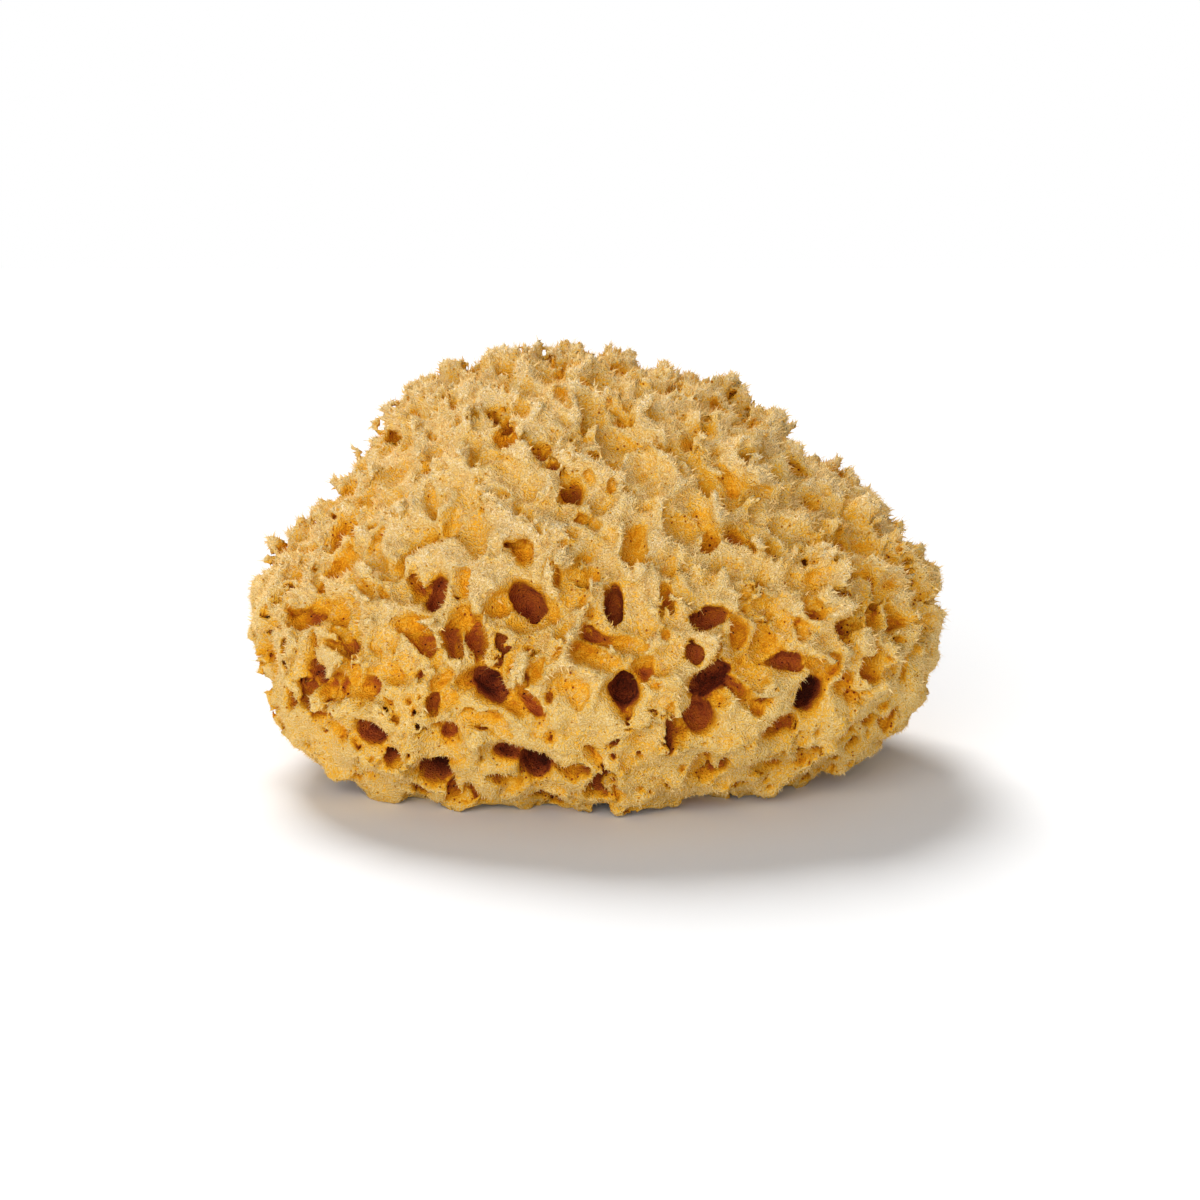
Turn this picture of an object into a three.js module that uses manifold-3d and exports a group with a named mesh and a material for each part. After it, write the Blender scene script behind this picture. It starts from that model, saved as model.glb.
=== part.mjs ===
// A natural honeycomb sea sponge: one lumpy, tufted piece, riddled with pits,
// cut flat where it grew on the rock.
// Millimetres, +Z up, front towards -Y. The origin is on the cut base, under the middle of the sponge.
import * as THREE from 'three';
import { mergeVertices } from 'three/addons/utils/BufferGeometryUtils.js';
import Module from 'manifold-3d';

// Driving dimension: the finished sponge is scaled to be this wide across its tufts,
// and comes out about 96 deep and 75 high.
const ACROSS = 120;

// The sponge is a few rounded lobes that have grown together.
const LOBES = [
  { name: 'body', at: [0.6, 0, 23], radii: [55.8, 45, 32] },
  { name: 'crown', at: [-6.2, 4, 41], radii: [35.4, 35, 28.4] },
  { name: 'right crown', at: [13.5, 3, 40], radii: [25, 32, 24.2] },
  { name: 'left shoulder', at: [-30.5, -2, 23], radii: [25.4, 33, 23.4] },
  { name: 'right shoulder', at: [32, 0, 24], radii: [24.4, 33, 23.6] },
  { name: 'left foot', at: [-25, -14, 13.5], radii: [24, 21, 18] },
];
const LOBE_BLEND = 7;
const HEART = new THREE.Vector3(0, 0, 26);
const REACH = 120;

// Tufts: frayed peaks between the pits, with valleys between them. Both are strong over the crown,
// above CROWN_Z, and fade to a share of that low on the worn flanks, near FLANK_Z. The foot is smooth.
const TUFT_SPACING = 6.4;
const TUFT_HEIGHT = [1.9, 4.2];
const TUFT_MIDDLE = 1.2;
const VALLEY_DEPTH = [-0.9, 2.4];
const FLANK_RELIEF = 0.5;
const CROWN_Z = 46;
const FLANK_Z = 8;
const FOOT_Z = 5;

// How the photograph sees the sponge: its scale, and a camera that looks at AIM from a little above.
const FRAME_SIDE = 1200;
const MM_PER_PIXEL = 120 / 694;
const VIEW_DISTANCE = 800;
const VIEW_ELEVATION = 15;
const AIM = new THREE.Vector3(0, 0, 28.6);

// Pits that the photograph shows. Column and row of the mouth's middle in the photograph,
// then the mouth's width and height and the pit's depth in mm,
// then how far the mouth's top turns right, in degrees.
const SEEN_PITS = [
  // left flank
  [349, 560, 4.2, 6.8, 6, 18], [324, 607, 7.0, 4.6, 6, 22], [397, 572, 5.2, 3.2, 6, 25],
  [419, 538, 2.6, 5.0, 5, -8], [440, 591, 3.6, 7.6, 9, 12], [467, 616, 3.2, 5.8, 6, -18],
  [364, 641, 3.4, 5.4, 5, -28], [318, 647, 3.8, 3.4, 3, 0], [317, 674, 6.4, 4.6, 9, 5],
  [388, 664, 3.6, 5.2, 6, 0], [414, 661, 5.0, 2.4, 6, 25], [373, 690, 6.2, 3.6, 7, -28],
  [336, 733, 6.0, 4.4, 6, 0], [374, 736, 6.4, 4.6, 8, 8], [453, 735, 3.4, 4.6, 9, -10],
  [491, 687, 7.4, 5.4, 10, 32], [366, 779, 6.6, 3.8, 5, 5],
  // middle
  [530, 597, 5.4, 9.0, 11, -38], [572, 600, 5.5, 5.5, 5, -20], [618, 603, 3.2, 9.0, 10, 0],
  [600, 524, 2.6, 3.4, 6, 10], [614, 518, 5.0, 2.2, 4, 30], [679, 524, 4.0, 5.0, 6, -20],
  [671, 565, 3.4, 6.0, 4, 10], [711, 578, 2.8, 4.6, 5, 5], [712, 616, 8.0, 3.6, 8, -18],
  [498, 650, 4.2, 3.0, 4, 20], [572, 686, 7.0, 3.8, 4, 10], [627, 692, 5.0, 6.4, 11, 0],
  [676, 655, 9.5, 5.0, 4, -5], [716, 680, 9.5, 4.8, 11, -32], [704, 722, 5.6, 7.4, 9, -10],
  [643, 743, 3.2, 4.4, 6, -10], [597, 749, 3.6, 2.8, 5, -15], [544, 726, 5.4, 4.2, 4, -20],
  [511, 757, 6.2, 3.0, 8, -5], [538, 772, 5.8, 6.8, 11, 0], [598, 795, 5.4, 2.0, 4, 3],
  [703, 778, 4.2, 4.6, 7, 0],
  // right flank
  [727, 534, 4.4, 3.8, 5, -20], [733, 504, 3.0, 6.0, 4, -10], [800, 531, 6.6, 2.6, 5, -5],
  [846, 541, 9.5, 4.0, 5, -5], [776, 607, 2.2, 9.0, 6, 40], [880, 615, 3.0, 6.0, 7, 20],
  [905, 612, 5.0, 6.5, 4, 0], [829, 631, 4.0, 2.2, 5, -10], [766, 650, 4.6, 7.0, 7, 0],
  [790, 662, 7.4, 2.6, 8, -5], [812, 699, 5.6, 7.2, 12, 28], [786, 731, 8.0, 4.0, 7, -15],
  [848, 744, 7.6, 2.8, 7, -38], [880, 715, 4.6, 6.0, 3.5, 35], [848, 690, 2.2, 8.5, 4, 8],
  // crown
  [560, 371, 4.4, 3.4, 6, 20], [503, 411, 5.0, 4.0, 6, -40], [531, 390, 7.0, 3.0, 4, 20],
  [593, 390, 4.0, 3.0, 4, 0], [609, 424, 3.6, 4.0, 5, 0], [635, 394, 6.4, 2.2, 4, 14],
  [694, 407, 2.8, 3.8, 5, 25], [773, 452, 2.6, 4.8, 6, 15], [460, 445, 4.0, 3.0, 4, -20],
  [491, 481, 2.6, 4.2, 4, 0], [520, 480, 4.6, 2.6, 5, 40], [540, 466, 3.0, 5.0, 4, 10],
  [372, 488, 3.2, 3.6, 4, 0], [441, 503, 6.2, 2.2, 4, -10], [630, 486, 4.0, 2.6, 4, 0],
  [655, 478, 3.0, 6.0, 4, -10], [712, 480, 1.8, 4.6, 4, -35],
];

// Pits on the sides that the photograph doesn't show, scattered evenly between those that it does.
const HIDDEN_PIT_TRIES = 106;
const HIDDEN_PIT_GAP = 2.4;
const HIDDEN_PIT_WIDTH = [4.2, 8];
const HIDDEN_PIT_STRETCH = [1, 1.35];
const HIDDEN_PIT_DEPTH = [6, 12];
const REST_CLEARANCE = 12;

// Every pit runs inwards from beyond the tufts, a little uneven all the way round.
const PIT_OVERSHOOT = 6;
const PIT_WAIST = 0.75;
const PIT_WAIST_WIDTH = 0.8;
const PIT_NECK = 1.6;
const PIT_FLARE = 1.5;
const WIDEST_MOUTH = 11;
const PIT_UNEVENNESS = 0.16;
const SEEN_PIT_LEAN = 0.45;
const WIDE_PIT = 5.5;
const WIDE_PIT_SIDES = 6;
const SMALL_PIT_SIDES = 5;

const FLESH_DETAIL = 11;
const SEED = 7;

const SPONGE_COLOUR = 0xd9a441;

const wasm = await Module();
wasm.setup();

// A repeatable stream of numbers from 0 to 1.
function seededStream(seed) {
  let state = seed >>> 0;
  return () => {
    state = (state + 0x6d2b79f5) >>> 0;
    let t = Math.imul(state ^ (state >>> 15), state | 1);
    t ^= t + Math.imul(t ^ (t >>> 7), t | 61);
    return ((t ^ (t >>> 14)) >>> 0) / 2 ** 32;
  };
}
const random = seededStream(SEED);
const between = ([low, high]) => low + (high - low) * random();

// Directions spread evenly over a sphere, each nudged a little so that no rows show.
function scatteredDirections(count, nudge) {
  const turn = Math.PI * (3 - Math.sqrt(5));
  return Array.from({ length: count }, (_, i) => {
    const z = 1 - (2 * (i + 0.5)) / count;
    const ring = Math.sqrt(1 - z * z);
    const jolt = new THREE.Vector3(random() - 0.5, random() - 0.5, random() - 0.5).multiplyScalar(nudge);
    return new THREE.Vector3(ring * Math.cos(i * turn), ring * Math.sin(i * turn), z).add(jolt).normalize();
  });
}

// Distance to one lobe, below zero inside it.
function lobeDistance(point, { at, radii }) {
  const near = [point.x - at[0], point.y - at[1], point.z - at[2]];
  const scaled = Math.hypot(...near.map((v, i) => v / radii[i]));
  const slope = Math.hypot(...near.map((v, i) => v / radii[i] ** 2));
  return (scaled * (scaled - 1)) / Math.max(slope, 1e-9);
}

// Distance to the lobes grown together, with soft folds where they meet.
function hullDistance(point) {
  return LOBES.map((lobe) => lobeDistance(point, lobe)).reduce((a, b) => {
    const share = THREE.MathUtils.clamp(0.5 + (0.5 * (b - a)) / LOBE_BLEND, 0, 1);
    return THREE.MathUtils.lerp(b, a, share) - LOBE_BLEND * share * (1 - share);
  });
}

function hullNormal(point) {
  const step = 0.05;
  const slope = (x, y, z) => {
    const jump = new THREE.Vector3(x, y, z).multiplyScalar(step);
    return hullDistance(point.clone().add(jump)) - hullDistance(point.clone().sub(jump));
  };
  return new THREE.Vector3(slope(1, 0, 0), slope(0, 1, 0), slope(0, 0, 1)).normalize();
}

// The point of the hull in a direction from the sponge's heart.
function hullPoint(direction) {
  let inside = 0;
  let outside = REACH;
  for (let i = 0; i < 40; i++) {
    const middle = (inside + outside) / 2;
    if (hullDistance(HEART.clone().addScaledVector(direction, middle)) < 0) inside = middle;
    else outside = middle;
  }
  return HEART.clone().addScaledVector(direction, inside);
}

// The photograph's camera.
const elevation = THREE.MathUtils.degToRad(VIEW_ELEVATION);
const viewRight = new THREE.Vector3(1, 0, 0);
const viewUp = new THREE.Vector3(0, Math.sin(elevation), Math.cos(elevation));
const viewAhead = new THREE.Vector3(0, Math.cos(elevation), -Math.sin(elevation));
const eye = AIM.clone().addScaledVector(viewAhead, -VIEW_DISTANCE);

// The point, half way up the tufts, that the photograph shows at a column and row, or null off the sponge.
function pointSeenAt(column, row) {
  const ray = viewAhead
    .clone()
    .multiplyScalar(VIEW_DISTANCE)
    .addScaledVector(viewRight, (column - FRAME_SIDE / 2) * MM_PER_PIXEL)
    .addScaledVector(viewUp, (FRAME_SIDE / 2 - row) * MM_PER_PIXEL)
    .normalize();
  const point = eye.clone().addScaledVector(ray, VIEW_DISTANCE - REACH);
  for (let i = 0; i < 200; i++) {
    const gap = hullDistance(point) - TUFT_MIDDLE;
    if (gap < 0.01) return point;
    point.addScaledVector(ray, Math.max(gap, 0.05));
  }
  return null;
}

function toSolid(geometry) {
  geometry.deleteAttribute('normal');
  geometry.deleteAttribute('uv');
  const merged = mergeVertices(geometry, 1e-3);
  return new wasm.Manifold(
    new wasm.Mesh({
      numProp: 3,
      vertProperties: new Float32Array(merged.attributes.position.array),
      triVerts: new Uint32Array(merged.index.array),
    }),
  );
}

function toGeometry(solid) {
  const mesh = solid.getMesh();
  const geometry = new THREE.BufferGeometry();
  geometry.setAttribute('position', new THREE.BufferAttribute(mesh.vertProperties, 3));
  geometry.setIndex(new THREE.BufferAttribute(mesh.triVerts, 1));
  geometry.computeVertexNormals();
  return geometry;
}

// The uncut flesh: the hull, with tufts standing on points of it that are well apart,
// and valleys of uneven depth between them.
function flesh() {
  const geometry = new THREE.IcosahedronGeometry(1, FLESH_DETAIL);
  geometry.deleteAttribute('normal');
  geometry.deleteAttribute('uv');
  const merged = mergeVertices(geometry, 1e-4);
  const position = merged.attributes.position;
  const direction = new THREE.Vector3();
  const points = Array.from({ length: position.count }, (_, i) =>
    hullPoint(direction.fromBufferAttribute(position, i).normalize()),
  );
  const tufts = new Set();
  const order = points.map((_, i) => [random(), i]).sort((a, b) => a[0] - b[0]);
  for (const [, i] of order) {
    if ([...tufts].every((t) => points[t].distanceTo(points[i]) > TUFT_SPACING)) tufts.add(i);
  }
  points.forEach((point, i) => {
    const rise = THREE.MathUtils.smoothstep(point.z, FLANK_Z, CROWN_Z);
    const relief = tufts.has(i) ? between(TUFT_HEIGHT) : -between(VALLEY_DEPTH);
    const lift = point.z < FOOT_Z ? 0 : relief * THREE.MathUtils.lerp(FLANK_RELIEF, 1, rise);
    const tip = point.clone().addScaledVector(hullNormal(point), lift);
    position.setXYZ(i, tip.x, tip.y, tip.z);
  });
  return toSolid(merged);
}

// What a pit takes away: an uneven, tapering, blind hole about an axis that points out of the sponge.
function pitCutter({ at, axis, width, height, depth, turn }) {
  const wide = Math.max(width, height) > WIDE_PIT;
  const sides = wide ? WIDE_PIT_SIDES : SMALL_PIT_SIDES;
  const flare = Math.min(PIT_FLARE, WIDEST_MOUTH / Math.max(width, height));
  const profile = [
    [0, -depth],
    ...(wide ? [[PIT_WAIST_WIDTH, -depth * PIT_WAIST]] : []),
    ...(wide ? [[1, -PIT_NECK]] : []),
    [flare, 1],
    [flare, PIT_OVERSHOOT],
    [0, PIT_OVERSHOOT],
  ].map(([radius, along]) => new THREE.Vector2(radius, along));
  const geometry = new THREE.LatheGeometry(profile, sides, random() * Math.PI);
  geometry.deleteAttribute('normal');
  geometry.deleteAttribute('uv');
  const cutter = mergeVertices(geometry, 1e-3);
  const position = cutter.attributes.position;
  for (let i = 0; i < position.count; i++) {
    const grow = 1 + PIT_UNEVENNESS * (2 * random() - 1);
    position.setX(i, position.getX(i) * grow);
    position.setZ(i, position.getZ(i) * grow);
  }
  // The lathe turns about Y. Its X becomes the mouth's width, and its Z runs down the mouth.
  const across = viewRight.clone().addScaledVector(axis, -viewRight.dot(axis));
  if (across.length() < 0.2) across.set(0, 1, 0).addScaledVector(axis, -axis.y);
  across.normalize().applyAxisAngle(axis, -THREE.MathUtils.degToRad(turn));
  const down = new THREE.Vector3().crossVectors(across, axis);
  const placed = new THREE.Matrix4().makeBasis(across, axis, down).setPosition(at);
  cutter.scale(width / 2, 1, height / 2).applyMatrix4(placed);
  return toSolid(cutter);
}

function seenPits() {
  return SEEN_PITS.map(([column, row, width, height, depth, turn]) => {
    const at = pointSeenAt(column, row);
    if (!at) throw new Error(`no sponge at column ${column}, row ${row}`);
    const axis = hullNormal(at).lerp(viewAhead.clone().negate(), SEEN_PIT_LEAN).normalize();
    return { at, axis, width, height, depth, turn };
  });
}

function hiddenPits(seen) {
  const pits = [...seen];
  for (const direction of scatteredDirections(HIDDEN_PIT_TRIES, 0.1)) {
    const at = hullPoint(direction);
    const underneath = at.z < 0;
    if (underneath) at.copy(HEART).addScaledVector(direction, -HEART.z / direction.z);
    const axis = underneath ? new THREE.Vector3(0, 0, -1) : hullNormal(at);
    const width = between(HIDDEN_PIT_WIDTH);
    const height = width * between(HIDDEN_PIT_STRETCH);
    const depth = between(HIDDEN_PIT_DEPTH);
    const turn = between([-90, 90]);
    const clear = pits.every((p) => {
      const room = (Math.max(p.width, p.height) + Math.max(width, height)) / 2 + HIDDEN_PIT_GAP;
      return p.at.distanceTo(at) > room;
    });
    const atRest = underneath && Math.hypot(at.x, at.y) < REST_CLEARANCE + width;
    if (clear && !atRest) pits.push({ at, axis, width, height, depth, turn });
  }
  return pits.slice(seen.length);
}

// The ground that the sponge was cut from: everything below the base.
function ground() {
  return toSolid(new THREE.BoxGeometry(2 * REACH, 2 * REACH, REACH).translate(0, 0, -REACH / 2));
}

function sponge() {
  const seen = seenPits();
  const pits = [...seen, ...hiddenPits(seen)];
  let solid = flesh().subtract(ground());
  for (const pit of pits) solid = solid.subtract(pitCutter(pit));
  const [largest] = solid.decompose().sort((a, b) => b.volume() - a.volume());
  const material = new THREE.MeshStandardMaterial({ color: SPONGE_COLOUR, roughness: 0.95, metalness: 0 });
  const geometry = toGeometry(largest);
  geometry.computeBoundingBox();
  const { min, max } = geometry.boundingBox;
  geometry.translate(-(min.x + max.x) / 2, -(min.y + max.y) / 2, 0);
  geometry.scale(...Array(3).fill(ACROSS / (max.x - min.x)));
  const mesh = new THREE.Mesh(geometry, material);
  mesh.name = 'sponge';
  return mesh;
}

const part = new THREE.Group();
part.add(sponge());

export default part;
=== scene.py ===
"""The looks of a natural honeycomb sea sponge, built around its CAD solid.

Geometry Nodes grow the flesh as a volume inside a smooth skin drawn over the solid. The solid's own pits
are cut into it, and smaller hollows and pores between them leave tufts with torn rims. A felt of short
fibres, with frays and hairs, then stands on all that is open to the air. Lengths are in metres.
"""

import math

import bpy
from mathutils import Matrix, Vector


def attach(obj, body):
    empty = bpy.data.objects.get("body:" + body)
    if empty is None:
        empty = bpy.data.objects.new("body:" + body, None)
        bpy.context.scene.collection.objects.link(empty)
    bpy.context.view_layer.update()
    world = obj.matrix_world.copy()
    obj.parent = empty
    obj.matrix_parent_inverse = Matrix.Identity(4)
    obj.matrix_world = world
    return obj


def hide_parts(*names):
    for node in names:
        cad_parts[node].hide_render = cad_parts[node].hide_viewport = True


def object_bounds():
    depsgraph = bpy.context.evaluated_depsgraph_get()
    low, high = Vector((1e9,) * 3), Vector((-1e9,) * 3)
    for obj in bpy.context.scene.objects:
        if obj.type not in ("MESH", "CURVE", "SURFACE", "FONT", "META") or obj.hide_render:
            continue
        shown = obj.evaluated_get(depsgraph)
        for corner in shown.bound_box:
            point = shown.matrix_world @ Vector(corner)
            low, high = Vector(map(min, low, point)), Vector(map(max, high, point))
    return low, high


MM = 0.001

# The photograph's camera: a square frame, seen from a little above.
VIEW_ELEVATION = math.radians(15)
VIEW_DISTANCE = 0.8
VIEW_AIM = Vector((0, 0, 28.6 * MM))
FRAME_WIDTH = 207.5 * MM
SENSOR = 36.0
NEAREST_SEEN = 0.01

# Studio: where each light comes from, how wide it looks from the floor in radians, and its strength.
BACK_LIGHT = {"toward": (-0.28, 0.75, 0.85), "width": 0.45, "strength": 3.5}
FRONT_LIGHT = {"toward": (-0.35, -1.0, 0.2), "width": 1.2, "strength": 3.5}
SKY_LIGHT = 0.28
WHITE = (1, 1, 1, 1)
FLOOR_COLOUR = (0.8, 0.8, 0.8, 1)
FLOOR_REACH = 0.45

# The lowest corner that a point of the sponge may have: the floor, and far away to the sides.
GROUND = (-1, -1, 0)

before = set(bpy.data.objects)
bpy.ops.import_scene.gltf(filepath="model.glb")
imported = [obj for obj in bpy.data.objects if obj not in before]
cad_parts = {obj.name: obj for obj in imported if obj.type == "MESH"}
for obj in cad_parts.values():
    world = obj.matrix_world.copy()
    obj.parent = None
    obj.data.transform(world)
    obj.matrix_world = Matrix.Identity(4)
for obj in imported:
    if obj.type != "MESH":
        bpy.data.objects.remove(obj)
cad_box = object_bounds()


class Tree:
    """A node tree written as plain sums: each call adds a node and gives back what it puts out."""

    def __init__(self, tree):
        self.tree = tree

    def add(self, kind, inputs=None, **settings):
        """Adds a node and gives back the node itself."""
        node = self.tree.nodes.new(kind)
        for name, value in settings.items():
            setattr(node, name, value)
        for name, value in (inputs or {}).items():
            self.plug(node, name, value)
        return node

    def plug(self, node, name, value):
        """Sets a node's input, by its number or its name, to a value or to what another node puts out."""
        if isinstance(name, int):
            socket = node.inputs[name]
        else:
            socket = next(s for s in node.inputs if s.name == name and s.enabled)
        if isinstance(value, bpy.types.NodeSocket):
            self.tree.links.new(value, socket)
        else:
            socket.default_value = value

    def get(self, kind, inputs=None, **settings):
        """Adds a node and gives back its first output."""
        return self.add(kind, inputs, **settings).outputs[0]

    def pick(self, kind, inputs=None, name=None, **settings):
        """Adds a node with an output for each type of data, and gives back the one in use."""
        node = self.add(kind, inputs, **settings)
        return next(s for s in node.outputs if s.enabled and name in (None, s.name))

    def math(self, operation, *values):
        return self.get("ShaderNodeMath", dict(enumerate(values)), operation=operation)

    def vector(self, operation, *values):
        return self.get("ShaderNodeVectorMath", dict(enumerate(values)), operation=operation)

    def scale(self, vector, factor):
        return self.get("ShaderNodeVectorMath", {"Vector": vector, "Scale": factor}, operation="SCALE")

    def join(self, **axes):
        return self.get("ShaderNodeCombineXYZ", axes)

    def height(self, at):
        """How high a point is."""
        return self.add("ShaderNodeSeparateXYZ", {0: at}).outputs["Z"]

    def position(self):
        return self.get("GeometryNodeInputPosition")

    def step(self, value, low, high, to_low=0.0, to_high=1.0):
        """A smooth step from to_low to to_high as value goes from low to high."""
        places = {"Value": value, "From Min": low, "From Max": high, "To Min": to_low, "To Max": to_high}
        return self.pick("ShaderNodeMapRange", places, interpolation_type="SMOOTHSTEP")

    def finer(self, size):
        """The scale of a texture whose features are about size across."""
        return self.math("DIVIDE", 1.0, size) if isinstance(size, bpy.types.NodeSocket) else 1 / size

    def noise(self, at, size, detail=0.0, roughness=0.5):
        """Noise with lumps about size across, as (a value from 0 to 1, a colour)."""
        inputs = {"Vector": at, "Scale": self.finer(size), "Detail": detail, "Roughness": roughness}
        node = self.add("ShaderNodeTexNoise", inputs)
        return node.outputs[0], node.outputs[1]

    def swing(self, at, size, detail, roughness=0.5):
        """Noise with lumps about size across, as a value from -1 to 1."""
        value = self.noise(at, size, detail, roughness)[0]
        return self.math("MULTIPLY", self.math("SUBTRACT", value, 0.5), 2.0)

    def drift(self, at, size, detail=0.0):
        """A direction that wanders over about size."""
        return self.vector("SUBTRACT", self.noise(at, size, detail)[1], (0.5, 0.5, 0.5))

    def cells(self, at, size):
        """Cells about size across, as (distance from the middle in metres, a random value for each cell)."""
        node = self.add("ShaderNodeTexVoronoi", {"Vector": at, "Scale": self.finer(size)})
        kind = "ShaderNodeSeparateColor" if self.tree.type == "SHADER" else "FunctionNodeSeparateColor"
        draw = self.get(kind, {"Color": node.outputs["Color"]})
        return self.math("MULTIPLY", node.outputs["Distance"], size), draw

    def random(self, low, high, seed, kind="FLOAT"):
        """A random value for each point or instance."""
        return self.pick("FunctionNodeRandomValue", {"Min": low, "Max": high, "Seed": seed}, data_type=kind)

    def read(self, name, kind="FLOAT"):
        """A named attribute of a mesh."""
        return self.pick("GeometryNodeInputNamedAttribute", {"Name": name}, "Attribute", data_type=kind)

    def store(self, geometry, name, value, kind="FLOAT"):
        """Keeps a value on each point of a mesh as a named attribute."""
        inputs = {"Geometry": geometry, "Name": name, "Value": value}
        return self.get("GeometryNodeStoreNamedAttribute", inputs, data_type=kind)

    def move(self, geometry, **inputs):
        return self.get("GeometryNodeSetPosition", {"Geometry": geometry, **inputs})


def geometry_tree(name, sizes):
    """A new Geometry Nodes tree with a geometry input and output and a named input for each size."""
    tree = bpy.data.node_groups.new(name, "GeometryNodeTree")
    tree.interface.new_socket("Geometry", in_out="INPUT", socket_type="NodeSocketGeometry")
    tree.interface.new_socket("Geometry", in_out="OUTPUT", socket_type="NodeSocketGeometry")
    for label, value in sizes.items():
        kind = "NodeSocketInt" if isinstance(value, int) else "NodeSocketFloat"
        tree.interface.new_socket(label, in_out="INPUT", socket_type=kind)
    start = tree.nodes.new("NodeGroupInput")
    return Tree(tree), start.outputs


def end_tree(t, geometry, material):
    """Ends a Geometry Nodes tree with plain geometry in a material, and gives the tree back."""
    real = t.get("GeometryNodeRealizeInstances", {0: geometry})
    painted = t.get("GeometryNodeSetMaterial", {0: real, "Material": material})
    end = t.tree.nodes.new("NodeGroupOutput")
    t.tree.links.new(painted, end.inputs["Geometry"])
    return t.tree


def grow(obj, tree, sizes):
    """Runs a Geometry Nodes tree on an object and keeps the result as its plain mesh."""
    modifier = obj.modifiers.new(tree.name, "NODES")
    modifier.node_group = tree
    for item in tree.interface.items_tree:
        if item.in_out == "INPUT" and item.name in sizes:
            modifier[item.identifier] = sizes[item.name]
    keep_result(obj)


def thin(obj, triangles):
    """Brings a mesh down to a number of triangles."""
    obj.data.calc_loop_triangles()
    decimate = obj.modifiers.new("thin", "DECIMATE")
    decimate.ratio = min(1.0, triangles / len(obj.data.loop_triangles))
    keep_result(obj)


def keep_result(obj):
    """Turns what an object's modifiers give into its own mesh, and removes them."""
    bpy.context.view_layer.update()
    evaluated = obj.evaluated_get(bpy.context.evaluated_depsgraph_get())
    mesh = bpy.data.meshes.new_from_object(evaluated)
    obj.modifiers.clear()
    obj.data = mesh
    mesh.name = obj.name


def new_object(name, data):
    obj = bpy.data.objects.new(name, data)
    bpy.context.scene.collection.objects.link(obj)
    return obj


def new_material(name, roughness):
    """A new material, as (the material, its node tree, its Principled BSDF)."""
    material = bpy.data.materials.new(name)
    material.use_nodes = True
    shader = material.node_tree.nodes["Principled BSDF"]
    shader.inputs["Roughness"].default_value = roughness
    return material, Tree(material.node_tree), shader


def srgb(colour):
    """A linear colour from an sRGB hex number."""
    channels = [((colour >> shift) & 255) / 255 for shift in (16, 8, 0)]
    return [c / 12.92 if c <= 0.04045 else ((c + 0.055) / 1.055) ** 2.4 for c in channels] + [1.0]


def ramp(t, value, stops):
    """A colour ramp from (value, sRGB hex) stops."""
    low = stops[0][0]
    span = stops[-1][0] - low
    node = t.add("ShaderNodeValToRGB", {"Fac": t.math("DIVIDE", t.math("SUBTRACT", value, low), span)})
    elements = node.color_ramp.elements
    while len(elements) < len(stops):
        elements.new(0.5)
    for element, (place, colour) in zip(elements, stops):
        element.position = (place - low) / span
        element.color = srgb(colour)
    return node.outputs["Color"]


def mottle_group():
    """A shader node group: patches about Size across, which shift a tone by up to Strength either way."""
    tree = bpy.data.node_groups.new("sponge_mottle", "ShaderNodeTree")
    tree.interface.new_socket("Vector", in_out="INPUT", socket_type="NodeSocketVector")
    for label in ("Size", "Detail", "Strength"):
        tree.interface.new_socket(label, in_out="INPUT", socket_type="NodeSocketFloat")
    tree.interface.new_socket("Tone", in_out="OUTPUT", socket_type="NodeSocketFloat")
    t = Tree(tree)
    start = tree.nodes.new("NodeGroupInput").outputs
    end = tree.nodes.new("NodeGroupOutput")
    shift = t.swing(start["Vector"], start["Size"], start["Detail"])
    t.plug(end, "Tone", t.math("MULTIPLY", shift, start["Strength"]))
    return tree


# The volume that the sponge's flesh fills. A pair of values is for low on the sponge, which is worn smooth,
# and for its tufted upper half.

FLESH_TRIANGLES = 196_000
FLESH_MARGIN = 6 * MM
MERGE_REACH = 1e-6
SOLID_VOXEL = 0.7 * MM
SOLID_BAND = 12
SKIN_VOXEL = 1.2 * MM
SKIN_BAND = 20
SKIN_SMOOTHING = 90

FLESH_SIZES = {
    "Voxel": (0.55 * MM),
    "Skin Offset": 4.5 * MM,
    "Flutter Reach": 1.6 * MM,
    "Tufts Begin": 17.0 * MM,
    "Tufts Full": 46.0 * MM,
    "Patch Reach": 20.0 * MM,
    "Crest Low": -0.7 * MM,
    "Crest High": 1.0 * MM,
    "Lump": 9.0 * MM,
    "Lump Height": 4.0 * MM,
    "Peak": 4.0 * MM,
    "Peak Height": 2.0 * MM,
    "Fray": 1.25 * MM,
    "Fray Height": 1.7 * MM,
    "Scoop": 5.0 * MM,
    "Scoop Shallow Low": 2.4 * MM,
    "Scoop Shallow High": 5.0 * MM,
    "Scoop Deep": 8.0 * MM,
    "Scoop Taper": 1.1 * MM,
    "Pore": 2.9 * MM,
    "Pore Shallow": 2.5 * MM,
    "Pore Deep": 5.5 * MM,
    "Pit Neck": 2.8 * MM,
    "Pit Flare": 2.0 * MM,
    "Pit Flutter": 1.8 * MM,
}
# How far across they are: the bends and the flutter of the patterns, and patches of tufts and of hollows.
WANDER = 8.0 * MM
FLUTTER = 2.4 * MM
PATCH = 11.0 * MM
CROWD = 7.0 * MM
FRAY_DETAIL = 2.0
FRAY_ROUGHNESS = 0.6
RAGGEDNESS = (0.3, 1.0)
LUMPINESS = (1.0, 0.5)
SCOOP_SHARE = (0.45, 0.53)
PORE_SHARE = (0.26, 0.42)
# Crowding noise from the first value to the second makes hollows narrower and wider.
CROWDING_NOISE = (0.3, 0.7)
CROWDING = (0.82, 1.08)
# Between these two draws, a hollow goes from its shallow depth to its deep one.
DEPTH_DRAWS = (0.1, 0.9)
# Hollows begin to close at this share of their depth, and are taller than they are wide.
CLOSING_SHARE = 0.4
UPRIGHT = (1, 1, 0.75)
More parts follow.
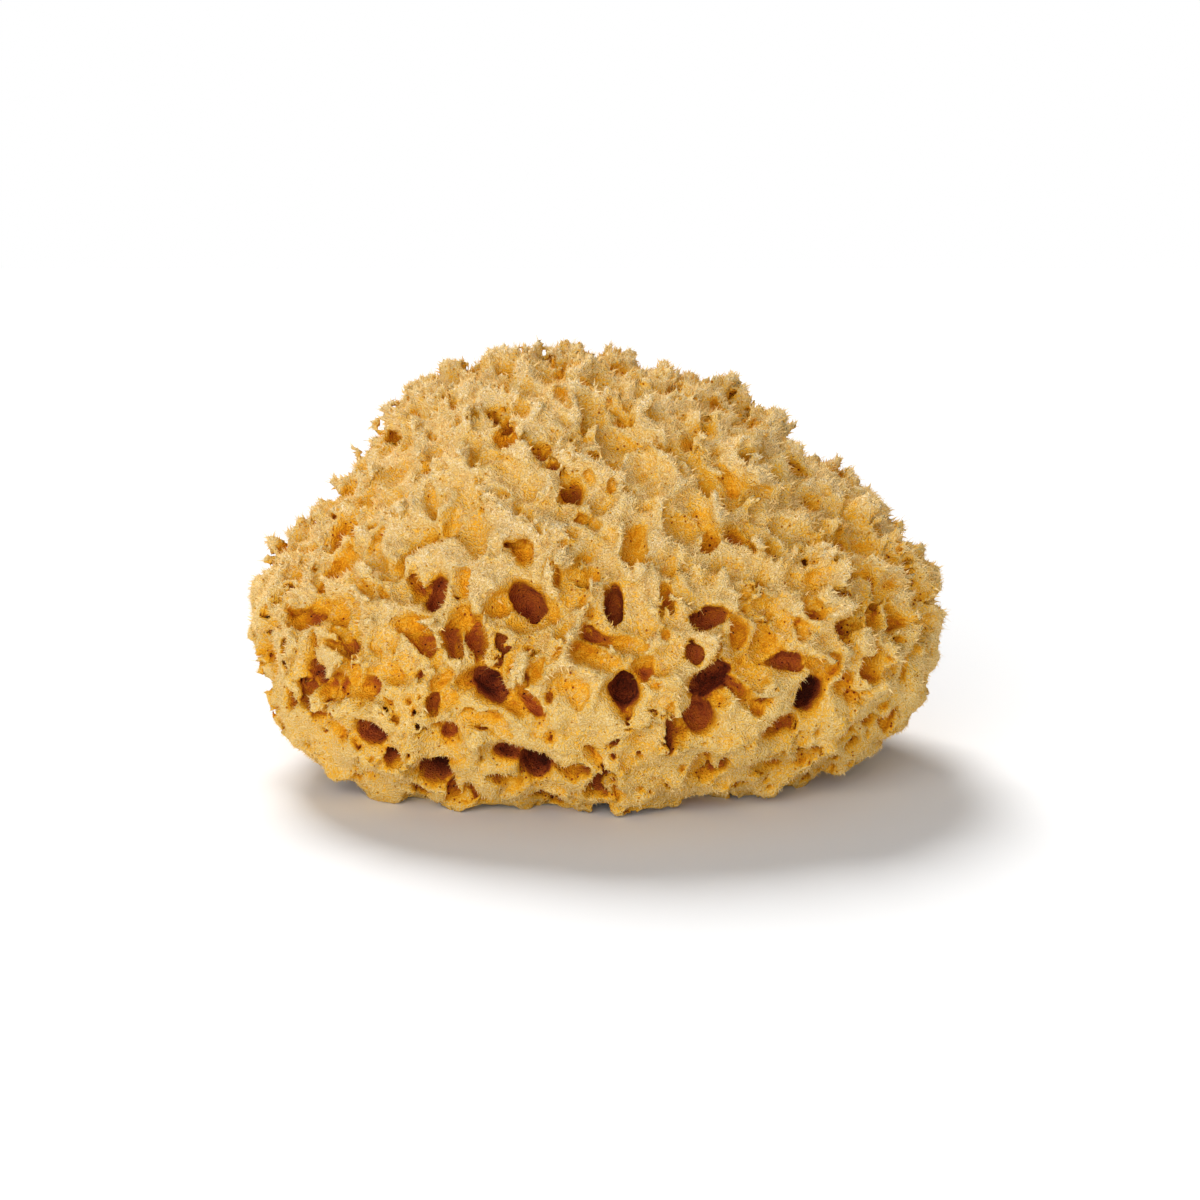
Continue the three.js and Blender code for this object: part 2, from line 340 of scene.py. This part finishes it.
# Rims are torn, and scoops taper, over these depths, from inside the skin to outside it.
TORN_DEPTHS = (-3 * MM, 0.5 * MM)
TAPER_DEPTHS = (-3 * MM, 5 * MM)
# The patterns follow this share of a point's way out from the skin, so that hollows run straight in.
GRAIN_SHARE = 0.4
PIT_TEAR = 0.9
NECK_SHARE = 0.15


def distance_grid(t, mesh, voxel, band):
    """A grid of distances from a closed mesh, below zero inside it."""
    return t.get("GeometryNodeMeshToSDFGrid", {"Mesh": mesh, "Voxel Size": voxel, "Band Width": band})


def sample(t, grid, at):
    return t.get("GeometryNodeSampleGrid", {"Grid": grid, "Position": at})


def slope(t, grid, at, value, reach):
    """The direction in which a grid's distance grows fastest."""
    rises = []
    for axis in range(3):
        jump = [reach if i == axis else 0.0 for i in range(3)]
        there = sample(t, grid, t.vector("ADD", at, jump))
        rises.append(t.math("SUBTRACT", there, value))
    return t.vector("NORMALIZE", t.join(**dict(zip("XYZ", rises))))


def hollows(t, at, outside, spacing, share, depths, widen):
    """Rounded hollows that meet in sharp rims: how far a point is inside one.

    Each reaches over a share of the spacing, widened by a length, and closes at a depth drawn between two.
    """
    distance, draw = t.cells(at, spacing)
    depth = t.step(draw, *DEPTH_DRAWS, *depths)
    fade = t.step(outside, t.math("MULTIPLY", depth, -1.0), t.math("MULTIPLY", depth, -CLOSING_SHARE))
    reach = t.math("MULTIPLY_ADD", spacing, share, widen)
    return t.math("SUBTRACT", t.math("MULTIPLY", reach, fade), distance)


def one_body(t, mesh):
    """The largest of a mesh's islands. What the hollows cut loose or shut in is dropped."""
    island = t.add("GeometryNodeInputMeshIsland").outputs["Island Index"]
    counted = {"Value": 1, "Group ID": island}
    total = t.pick("GeometryNodeAccumulateField", counted, "Total", data_type="INT", domain="POINT")
    most = t.add("GeometryNodeAttributeStatistic", {"Geometry": mesh, "Attribute": total}).outputs["Max"]
    sizes = {"A": total, "B": most}
    stray = t.pick("FunctionNodeCompare", sizes, data_type="FLOAT", operation="LESS_THAN")
    return t.get("GeometryNodeDeleteGeometry", {"Geometry": mesh, "Selection": stray}, domain="POINT")


def flesh_tree(material):
    """The flesh, grown from the solid. Its points keep how far they are sunk, and which way is outward."""
    t, size = geometry_tree("sponge_flesh", FLESH_SIZES)
    at = t.position()
    height = t.height(at)
    solid = t.get("GeometryNodeMergeByDistance", {"Geometry": size["Geometry"], "Distance": MERGE_REACH})
    solid_grid = distance_grid(t, solid, SOLID_VOXEL, SOLID_BAND)
    skin = t.get("GeometryNodeGridToMesh", {0: solid_grid, "Threshold": size["Skin Offset"]})
    smoothing = {"Value": at, "Iterations": SKIN_SMOOTHING}
    smoothed = t.pick("GeometryNodeBlurAttribute", smoothing, data_type="FLOAT_VECTOR")
    skin_grid = distance_grid(t, t.move(skin, Position=smoothed), SKIN_VOXEL, SKIN_BAND)

    # How far a point is over the skin and outside the sponge, and which way that is.
    over = sample(t, skin_grid, at)
    outside = t.math("ADD", over, size["Skin Offset"])
    outward = slope(t, skin_grid, at, over, SKIN_VOXEL)
    near = t.vector("SUBTRACT", at, t.scale(outward, over))
    grain = t.vector("ADD", near, t.scale(outward, t.math("MULTIPLY", over, GRAIN_SHARE)))
    grain = t.vector("ADD", grain, t.scale(t.drift(grain, WANDER), WANDER))
    flutter = t.drift(grain, FLUTTER, 1.0)
    rough_grain = t.vector("ADD", grain, t.scale(flutter, size["Flutter Reach"]))
    patch = t.noise(near, PATCH)[0]
    uneven_height = t.math("MULTIPLY_ADD", patch, size["Patch Reach"], height)
    upper = t.step(uneven_height, size["Tufts Begin"], size["Tufts Full"])

    # The outer surface, with lumps, peaks and frays.
    lump = t.swing(grain, size["Lump"], 1.0)
    lump = t.math("MULTIPLY", lump, t.step(upper, 0, 1, *LUMPINESS))
    peak = t.math("MULTIPLY", t.swing(grain, size["Peak"], 1.0), size["Peak Height"])
    fray = t.swing(rough_grain, size["Fray"], FRAY_DETAIL, FRAY_ROUGHNESS)
    fray = t.math("MULTIPLY", fray, size["Fray Height"])
    crest = t.step(upper, 0, 1, size["Crest Low"], size["Crest High"])
    ragged = t.step(upper, 0, 1, *RAGGEDNESS)
    surface = t.math("MULTIPLY_ADD", peak, ragged, crest)
    surface = t.math("MULTIPLY_ADD", fray, ragged, surface)
    surface = t.math("MULTIPLY_ADD", lump, size["Lump Height"], surface)

    # Hollows with torn rims. They are so close on the upper half that only tufts are left between them.
    torn = t.math("MULTIPLY", fray, t.step(outside, *TORN_DEPTHS))
    taper = t.math("MULTIPLY", size["Scoop Taper"], upper)
    taper = t.math("MULTIPLY", taper, t.step(outside, *TAPER_DEPTHS))
    crowding = t.step(t.noise(near, CROWD)[0], *CROWDING_NOISE, *CROWDING)
    upright = t.vector("MULTIPLY", grain, UPRIGHT)
    share = t.math("MULTIPLY", t.step(upper, 0, 1, *SCOOP_SHARE), crowding)
    shallow = t.step(upper, 0, 1, size["Scoop Shallow Low"], size["Scoop Shallow High"])
    depths = (shallow, size["Scoop Deep"])
    scoop = hollows(t, upright, outside, size["Scoop"], share, depths, t.math("ADD", taper, torn))
    share = t.math("MULTIPLY", t.step(upper, 0, 1, *PORE_SHARE), crowding)
    depths = (size["Pore Shallow"], size["Pore Deep"])
    pore = hollows(t, upright, outside, size["Pore"], share, depths, torn)

    # The solid's own pits. Above its neck, each keeps the neck's outline and flares a little.
    over_neck = t.math("MAXIMUM", t.math("ADD", outside, size["Pit Neck"]), 0.0)
    below = t.vector("SUBTRACT", at, t.scale(outward, over_neck))
    below = t.vector("ADD", below, t.scale(flutter, size["Pit Flutter"]))
    flare = t.math("MULTIPLY", size["Pit Flare"], t.step(over_neck, 0, size["Pit Neck"], NECK_SHARE, 1.0))
    flare = t.math("MULTIPLY_ADD", torn, PIT_TEAR, flare)
    pit = t.math("ADD", sample(t, solid_grid, below), flare)

    # The flesh is what none of these takes away, above the cut base.
    air = t.math("SUBTRACT", outside, surface)
    air = t.math("MAXIMUM", air, t.math("MAXIMUM", scoop, pore))
    air = t.math("MAXIMUM", air, pit)
    flesh = t.math("MINIMUM", t.math("MULTIPLY", air, -1.0), height)
    margin = Vector((FLESH_MARGIN,) * 3)
    low = Vector(cad_box[0]) - margin
    high = Vector(cad_box[1]) + margin
    volume = t.add("GeometryNodeVolumeCube", {"Density": flesh, "Background": -1.0, "Min": low, "Max": high})
    for axis, span in zip("XYZ", high - low):
        t.plug(volume, "Resolution " + axis, t.math("DIVIDE", span, size["Voxel"]))
    mesh = t.get("GeometryNodeVolumeToMesh", {"Volume": volume.outputs[0], "Threshold": 0.0})
    mesh = one_body(t, mesh)
    mesh = t.store(mesh, "sunk", t.math("SUBTRACT", crest, outside))
    mesh = t.store(mesh, "outward", outward, "FLOAT_VECTOR")
    return end_tree(t, mesh, material)


# How open each point is: the share of the rays from it that meet no flesh within their reach.

OPENNESS_SIZES = {"Rays": 32, "Reach": 14.0 * MM}
RAY_SPREAD = 0.97
RAY_LIFT = 0.35 * MM


def openness_tree(material):
    """Stores on each point how open it is, and shades the mesh smooth."""
    t, size = geometry_tree("sponge_openness", OPENNESS_SIZES)
    at = t.position()
    mesh = t.move(size["Geometry"], Position=t.vector("MAXIMUM", at, GROUND))
    normal = t.get("GeometryNodeInputNormal")
    repeat_in = t.add("GeometryNodeRepeatInput")
    repeat_out = t.add("GeometryNodeRepeatOutput")
    repeat_in.pair_with_output(repeat_out)
    t.plug(repeat_in, "Iterations", size["Rays"])
    t.plug(repeat_in, "Geometry", t.store(mesh, "openness", 0.0))
    draw = t.random((-1, -1, -1), (1, 1, 1), repeat_in.outputs["Iteration"], "FLOAT_VECTOR")
    lean = t.scale(t.vector("NORMALIZE", draw), RAY_SPREAD)
    ray = {
        "Target Geometry": mesh,
        "Source Position": t.vector("ADD", at, t.scale(normal, RAY_LIFT)),
        "Ray Direction": t.vector("ADD", normal, lean),
        "Ray Length": size["Reach"],
    }
    hit = t.pick("GeometryNodeRaycast", ray, "Is Hit")
    share = t.math("DIVIDE", t.math("SUBTRACT", 1.0, hit), size["Rays"])
    more = t.math("ADD", t.read("openness"), share)
    t.plug(repeat_out, "Geometry", t.store(repeat_in.outputs["Geometry"], "openness", more))
    smooth = t.get("GeometryNodeSetShadeSmooth", {0: repeat_out.outputs["Geometry"], "Shade Smooth": True})
    return end_tree(t, smooth, material)


# The flesh's colour, with painted light and shade: red-brown painted shade in the pits, darkest where they
# are deepest, gold painted shade in the hollows, pale painted light on the crests and painted shade towards
# the bottom. Each colour is for a tone, which is the sum of the tones below.

FLESH_AND_SHADE_COLOURS = [
    (-0.26, 0x501E0E),
    (-0.15, 0x7C3014),
    (-0.06, 0xA04A1C),
    (0.05, 0xAE5818),
    (0.14, 0xC6780C),
    (0.26, 0xE49C14),
    (0.40, 0xE8AE34),
    (0.54, 0xE3B962),
    (0.80, 0xE6C888),
    (1.00, 0xEED8AE),
]
FLESH_ROUGHNESS = 0.95
FLESH_GLOSS = 0.15
# Painted shade: this tone is added for openness, so less open flesh is painted darker and redder.
OPENNESS_SHADE_TONE = 0.65
# Painted light: crests are made paler by this tone.
CREST_LIGHT_TONE = 0.3
CREST_DEPTHS = (0.5 * MM, 8 * MM)
# Painted shade: the tone is lower towards the bottom, from the first height to the second.
SHADE_HEIGHTS = (5 * MM, 55 * MM)
HEIGHT_SHADE_TONES = (-0.38, -0.06)
FLESH_MOTTLE = {"Size": 4 * MM, "Detail": 3.0, "Strength": 0.15}
# Grains: fine felt, stronger where the tone is pale.
GRAIN = 0.36 * MM
GRAIN_ROUGHNESS = 0.6
GRAIN_NOISE = (0.32, 0.68)
GRAIN_AT_TONES = (0.1, 0.6)
GRAIN_TONES = (0.03, 0.16)
# Pinholes, darkened with painted shade: about half of the cells have one.
PINHOLE_SPACING = 1.1 * MM
PINHOLE_EDGE = (0.12 * MM, 0.26 * MM)
PINHOLE_DRAWS = (0.45, 0.55)
PINHOLE_SHADE_TONE = 0.4
PINHOLE_DEPTH = 2.0
BUMP_STRENGTH = 0.9
BUMP_HEIGHT = 0.12 * MM


def flesh_material(mottle):
    material, t, shader = new_material("sponge_flesh", FLESH_ROUGHNESS)
    shader.inputs["Specular IOR Level"].default_value = FLESH_GLOSS
    at = t.add("ShaderNodeTexCoord").outputs["Object"]
    painted_shade_openness = t.add("ShaderNodeAttribute", attribute_name="openness").outputs["Fac"]
    sunk = t.add("ShaderNodeAttribute", attribute_name="sunk").outputs["Fac"]
    painted_crest_light = t.step(sunk, *CREST_DEPTHS, 1.0, 0.0)
    # Painted shade and light: the tone is darker where the flesh is less open and paler on the crests.
    tone = t.math("MULTIPLY_ADD", painted_shade_openness, OPENNESS_SHADE_TONE, t.math("MULTIPLY", painted_crest_light, CREST_LIGHT_TONE))
    # Painted shade: darker towards the bottom.
    tone = t.math("ADD", tone, t.step(t.height(at), *SHADE_HEIGHTS, *HEIGHT_SHADE_TONES))
    patches = t.get("ShaderNodeGroup", {"Vector": at, **FLESH_MOTTLE}, node_tree=mottle)
    tone = t.math("ADD", tone, patches)
    grains = t.step(t.noise(at, GRAIN, 1.0, GRAIN_ROUGHNESS)[0], *GRAIN_NOISE, -1.0, 1.0)
    tone = t.math("MULTIPLY_ADD", grains, t.step(tone, *GRAIN_AT_TONES, *GRAIN_TONES), tone)
    distance, draw = t.cells(at, PINHOLE_SPACING)
    pinhole = t.math("MULTIPLY", t.step(distance, *PINHOLE_EDGE, 1.0, 0.0), t.step(draw, *PINHOLE_DRAWS))
    # Painted shade: each pinhole is darkened.
    tone = t.math("SUBTRACT", tone, t.math("MULTIPLY", pinhole, PINHOLE_SHADE_TONE))
    t.plug(shader, "Base Color", ramp(t, tone, FLESH_AND_SHADE_COLOURS))
    relief = t.math("SUBTRACT", grains, t.math("MULTIPLY", pinhole, PINHOLE_DEPTH))
    bump = {"Height": relief, "Strength": BUMP_STRENGTH, "Distance": BUMP_HEIGHT}
    t.plug(shader, "Normal", t.get("ShaderNodeBump", bump))
    return material


def make_flesh(material):
    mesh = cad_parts["sponge"].data.copy()
    mesh.materials.clear()
    flesh = new_object("sponge_flesh", mesh)
    grow(flesh, flesh_tree(material), FLESH_SIZES)
    thin(flesh, FLESH_TRIANGLES)
    grow(flesh, openness_tree(material), OPENNESS_SIZES)
    return flesh


# Fibres: a short felt all over, frays and hairs on the tufts. They stand where the flesh is open enough,
# from the Lowest height, and are closest from the Full height up.

FELT = {
    "Density": 2.0e6, "Length": 0.65 * MM, "Width": 0.15 * MM, "Joints": 1, "Lean": 1.2,
    "Least Open": 0.5, "Lowest": 1.0 * MM, "Full": 4.0 * MM,
}
FIBRES = {
    "felt_a": {**FELT, "Seed": 11},
    "felt_b": {**FELT, "Seed": 12},
    "frays": {
        "Density": 1.0e6, "Length": 1.2 * MM, "Width": 0.5 * MM, "Joints": 2, "Lean": 0.8,
        "Least Open": 0.64, "Lowest": 16.0 * MM, "Full": 42.0 * MM, "Seed": 13,
    },
    "hairs": {
        "Density": 2.4e6, "Length": 1.6 * MM, "Width": 0.13 * MM, "Joints": 2, "Lean": 0.6,
        "Least Open": 0.68, "Lowest": 14.0 * MM, "Full": 40.0 * MM, "Seed": 14,
    },
}
FIBRE_SIDES = 3
FIBRE_BEND = 0.45
FIBRE_OUTWARD = 0.7
SHORTEST_FIBRE = 0.4
OPEN_RANGE = 0.3

# Painted shade and light: fibres are golden where they are less open and pale where they are open.
FIBRE_SHADE_COLOURS = [(0.52, 0xD8981C), (0.72, 0xDEB260), (0.92, 0xEACC8E)]
FIBRE_ROUGHNESS = 0.9
FIBRE_GLOSS = 0.2
FIBRE_MOTTLE = {"Size": 2.5 * MM, "Detail": 2.0, "Strength": 0.25}


def fibre_material(mottle):
    material, t, shader = new_material("sponge_fibre", FIBRE_ROUGHNESS)
    shader.inputs["Specular IOR Level"].default_value = FIBRE_GLOSS
    at = t.add("ShaderNodeTexCoord").outputs["Object"]
    painted_shade_openness = t.add("ShaderNodeAttribute", attribute_name="openness").outputs["Fac"]
    patches = t.get("ShaderNodeGroup", {"Vector": at, **FIBRE_MOTTLE}, node_tree=mottle)
    # Painted shade: the fibre's tone follows how open it is.
    tone = t.math("ADD", painted_shade_openness, patches)
    t.plug(shader, "Base Color", ramp(t, tone, FIBRE_SHADE_COLOURS))
    return material


def bent_fibre(t, size):
    """One fibre: a slim cone that bends to one side."""
    cone = {
        "Vertices": FIBRE_SIDES,
        "Side Segments": size["Joints"],
        "Radius Top": 0.0,
        "Radius Bottom": t.math("MULTIPLY", size["Width"], 0.5),
        "Depth": size["Length"],
    }
    along = t.math("DIVIDE", t.height(t.position()), size["Length"])
    bend = t.math("MULTIPLY", size["Length"], FIBRE_BEND)
    bend = t.math("MULTIPLY", t.math("MULTIPLY", along, along), bend)
    return t.move(t.get("GeometryNodeMeshCone", cone), Offset=t.join(X=bend))


def fibre_tree(material):
    """Bent, tapering fibres on the parts of a mesh that are open to the air."""
    t, size = geometry_tree("sponge_fibres", FIBRES["felt_a"])
    most_open = t.math("ADD", size["Least Open"], OPEN_RANGE)
    density = t.math("MULTIPLY", size["Density"], t.step(t.read("openness"), size["Least Open"], most_open))
    above = t.step(t.height(t.position()), size["Lowest"], size["Full"])
    scattering = {
        "Mesh": size["Geometry"],
        "Density": t.math("MULTIPLY", density, above),
        "Seed": size["Seed"],
    }
    scatter = t.add("GeometryNodeDistributePointsOnFaces", scattering)
    outward = t.scale(t.read("outward", "FLOAT_VECTOR"), FIBRE_OUTWARD)
    tilt = t.random((-1, -1, -1), (1, 1, 1), size["Seed"], "FLOAT_VECTOR")
    up = t.vector("ADD", scatter.outputs["Normal"], outward)
    up = t.vector("ADD", up, t.scale(tilt, size["Lean"]))
    stand = t.get("FunctionNodeAlignRotationToVector", {"Vector": up}, axis="Z")
    turn = t.join(Z=t.random(0.0, math.tau, size["Seed"]))
    spin = t.get("FunctionNodeEulerToRotation", {0: turn})
    planting = {
        "Points": scatter.outputs["Points"],
        "Instance": bent_fibre(t, size),
        "Rotation": t.get("FunctionNodeRotateRotation", {0: stand, 1: spin}, rotation_space="LOCAL"),
        "Scale": t.random(SHORTEST_FIBRE, 1.0, size["Seed"]),
    }
    planted = t.get("GeometryNodeInstanceOnPoints", planting)
    real = t.get("GeometryNodeRealizeInstances", {0: planted})
    grounded = t.move(real, Position=t.vector("MAXIMUM", t.position(), GROUND))
    return end_tree(t, grounded, material)


def make_fibres(flesh, material):
    tree = fibre_tree(material)
    pieces = []
    for name, sizes in FIBRES.items():
        piece = new_object(name, flesh.data.copy())
        grow(piece, tree, sizes)
        pieces.append(piece)
    return pieces


def make_light(name, toward, width, strength):
    """A soft, far light."""
    data = bpy.data.lights.new(name, "SUN")
    data.angle = width
    data.energy = strength
    light = new_object(name, data)
    light.rotation_euler = Vector(toward).to_track_quat("Z", "Y").to_euler()


def make_studio():
    """A white backdrop, a pale floor and two lights. The backdrop lights the sponge less than it shows."""
    scene = bpy.context.scene
    scene.view_settings.view_transform = "Standard"
    world = bpy.data.worlds.new("studio")
    world.use_nodes = True
    t = Tree(world.node_tree)
    backdrop = world.node_tree.nodes["Background"]
    backdrop.inputs["Color"].default_value = WHITE
    seen = t.add("ShaderNodeLightPath").outputs["Is Camera Ray"]
    t.plug(backdrop, "Strength", t.step(seen, 0, 1, SKY_LIGHT, 1.0))
    scene.world = world
    mesh = bpy.data.meshes.new("floor")
    corners = [(x * FLOOR_REACH, y * FLOOR_REACH, 0) for x, y in ((-1, -1), (1, -1), (1, 1), (-1, 1))]
    mesh.from_pydata(corners, [], [(0, 1, 2, 3)])
    material, _, shader = new_material("floor", 1.0)
    shader.inputs["Base Color"].default_value = FLOOR_COLOUR
    mesh.materials.append(material)
    new_object("floor", mesh)
    make_light("back", **BACK_LIGHT)
    make_light("front", **FRONT_LIGHT)


def make_camera():
    data = bpy.data.cameras.new("camera")
    data.sensor_width = SENSOR
    data.lens = SENSOR * VIEW_DISTANCE / FRAME_WIDTH
    data.clip_start = NEAREST_SEEN
    camera = new_object("camera", data)
    back = Vector((0, -math.cos(VIEW_ELEVATION), math.sin(VIEW_ELEVATION)))
    camera.location = VIEW_AIM + back * VIEW_DISTANCE
    camera.rotation_euler = (-back).to_track_quat("-Z", "Y").to_euler()
    bpy.context.scene.camera = camera


make_camera()
make_studio()
mottle = mottle_group()
flesh = make_flesh(flesh_material(mottle))
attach(flesh, "root")
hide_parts("sponge")
for piece in make_fibres(flesh, fibre_material(mottle)):
    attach(piece, "root")
